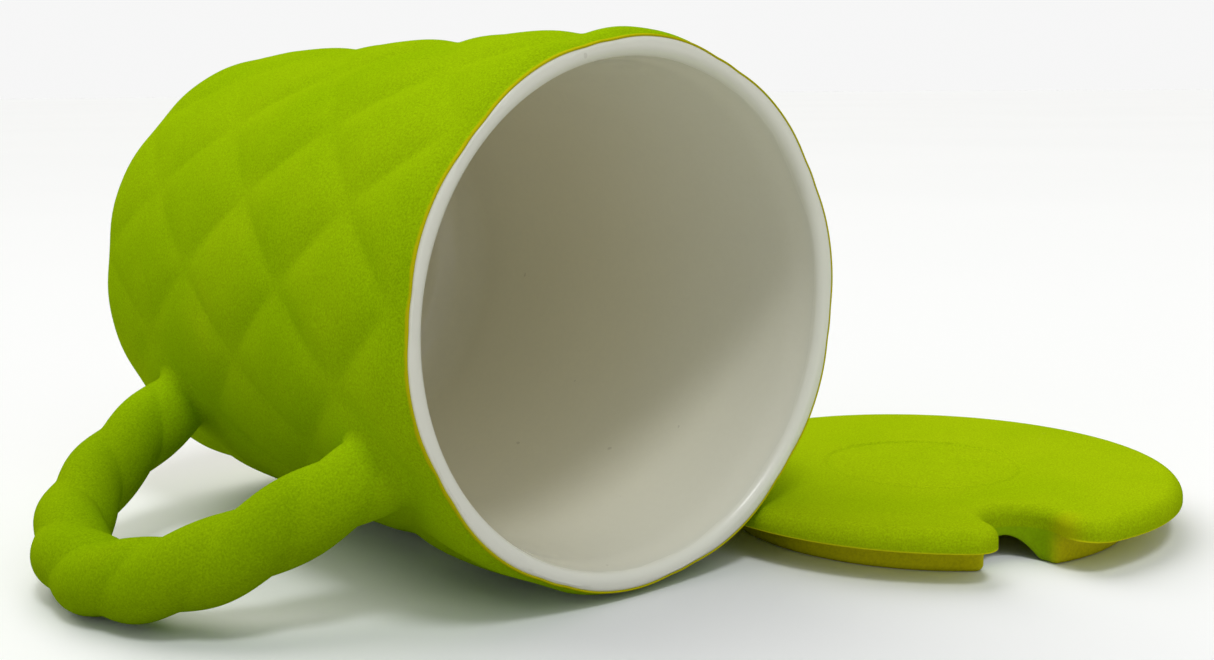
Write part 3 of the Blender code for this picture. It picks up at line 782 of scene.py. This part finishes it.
def floor():
    """Plain pale floor, a wide disc."""
    n = 96
    th = TAU * np.arange(n) / n
    rows = [200, 600, 1500, 4000, 9000]
    rings = [np.array([[0.0, 0.0, 0.0]])]
    for r in rows:
        rings.append(np.stack([r * np.cos(th), r * np.sin(th), np.zeros(n)], -1))
    verts = np.concatenate(rings)
    faces = [(0, 1 + k, 1 + (k + 1) % n) for k in range(n)]
    for a in range(len(rows) - 1):
        for k in range(n):
            q = (k + 1) % n
            faces.append((1 + a * n + k, 1 + (a + 1) * n + k, 1 + (a + 1) * n + q, 1 + a * n + q))
    me = bpy.data.meshes.new("studio_floor")
    me.from_pydata((verts * MM).tolist(), [], faces)
    obj = bpy.data.objects.new("studio_floor", me)
    bpy.context.scene.collection.objects.link(obj)
    m = Nodes("studio_floor")
    tone = m.mix(m.remap(m.noise(2, 2, 0.5), 0.3, 0.7), (0.91, 0.94, 0.965), (0.92, 0.95, 0.975))
    seen = m.add("ShaderNodeLightPath").outputs["Is Camera Ray"]      # keeps the floor's own glow off the piece
    m.link(m.mix(seen, (0.52, 0.52, 0.51), tone), m.shader.inputs["Base Color"])
    m.shader.inputs["Roughness"].default_value = 0.9
    m.shader.inputs["Specular IOR Level"].default_value = 0.0
    obj.data.materials.append(m.mat)
    return obj


floor()


def area(name, place, target, size, power, colour=(1, 1, 1), size_y=None):
    light = bpy.data.lights.new(name, "AREA")
    light.shape = "RECTANGLE"
    light.size = size
    light.size_y = size_y or size
    light.energy = power
    light.color = colour
    obj = bpy.data.objects.new(name, light)
    obj.location = place
    direction = Vector(target) - Vector(place)
    obj.rotation_euler = direction.to_track_quat("-Z", "Y").to_euler()
    bpy.context.scene.collection.objects.link(obj)
    return obj


def sun(name, toward, strength, angle, colour=(1, 1, 1)):
    light = bpy.data.lights.new(name, "SUN")
    light.energy = strength
    light.angle = math.radians(angle)
    light.color = colour
    obj = bpy.data.objects.new(name, light)
    obj.rotation_euler = (-Vector(toward)).to_track_quat("-Z", "Y").to_euler()
    obj.location = Vector(toward)
    bpy.context.scene.collection.objects.link(obj)
    return obj


sun("key_light", (0.0, 0.60, 0.80), KEY, 74, (1.0, 0.94, 0.86))
sun("side_light", (-0.185, -0.404, 0.896), SIDE, 14)
area("front_light", (-0.15, -1.05, 1.0), (-0.01, 0.0, 0.04), 0.8, FRONT)
area("left_light", (-1.3, 0.1, 0.35), (-0.03, 0.0, 0.04), 0.7, LEFT)
area("mouth_light", (0.22, -0.95, 0.14), (-0.01, 0.0, 0.05), 0.3, MOUTH)

world = bpy.data.worlds.new("studio")
world.use_nodes = True
tree = world.node_tree
ambient = tree.nodes["Background"]
ambient.inputs[0].default_value = (1.0, 1.0, 1.0, 1.0)
ambient.inputs[1].default_value = AMBIENT
backdrop = tree.nodes.new("ShaderNodeBackground")
backdrop.inputs[0].default_value = (1.0, 1.0, 1.0, 1.0)
backdrop.inputs[1].default_value = BACKDROP
rays = tree.nodes.new("ShaderNodeLightPath")
choose = tree.nodes.new("ShaderNodeMixShader")
tree.links.new(rays.outputs["Is Camera Ray"], choose.inputs[0])
tree.links.new(ambient.outputs[0], choose.inputs[1])
tree.links.new(backdrop.outputs[0], choose.inputs[2])
tree.links.new(choose.outputs[0], tree.nodes["World Output"].inputs[0])
bpy.context.scene.world = world

bpy.context.scene.view_settings.view_transform = "Standard"

# ------------------------------------------------------------------------ camera
right = Vector((0.769138, -0.639035, -0.007811)).normalized()
forward = Vector((0.629946, 0.760145, -0.159211)).normalized()
forward = (forward + right.cross(forward) * (2.2 / 1563.0) - right * (2.0 / 1563.0)).normalized()
up = right.cross(forward).normalized()
right = forward.cross(up).normalized()
cam_data = bpy.data.cameras.new("camera")
cam_data.sensor_width = 36.0
cam_data.lens = 46.353
cam_data.clip_start = 0.01
cam_data.clip_end = 20.0
cam = bpy.data.objects.new("camera", cam_data)
cam.matrix_world = Matrix(((right.x, up.x, -forward.x, -0.165412),
                           (right.y, up.y, -forward.y, -0.200064),
                           (right.z, up.z, -forward.z, 0.0756),
                           (0, 0, 0, 1)))
bpy.context.scene.collection.objects.link(cam)
bpy.context.scene.camera = cam
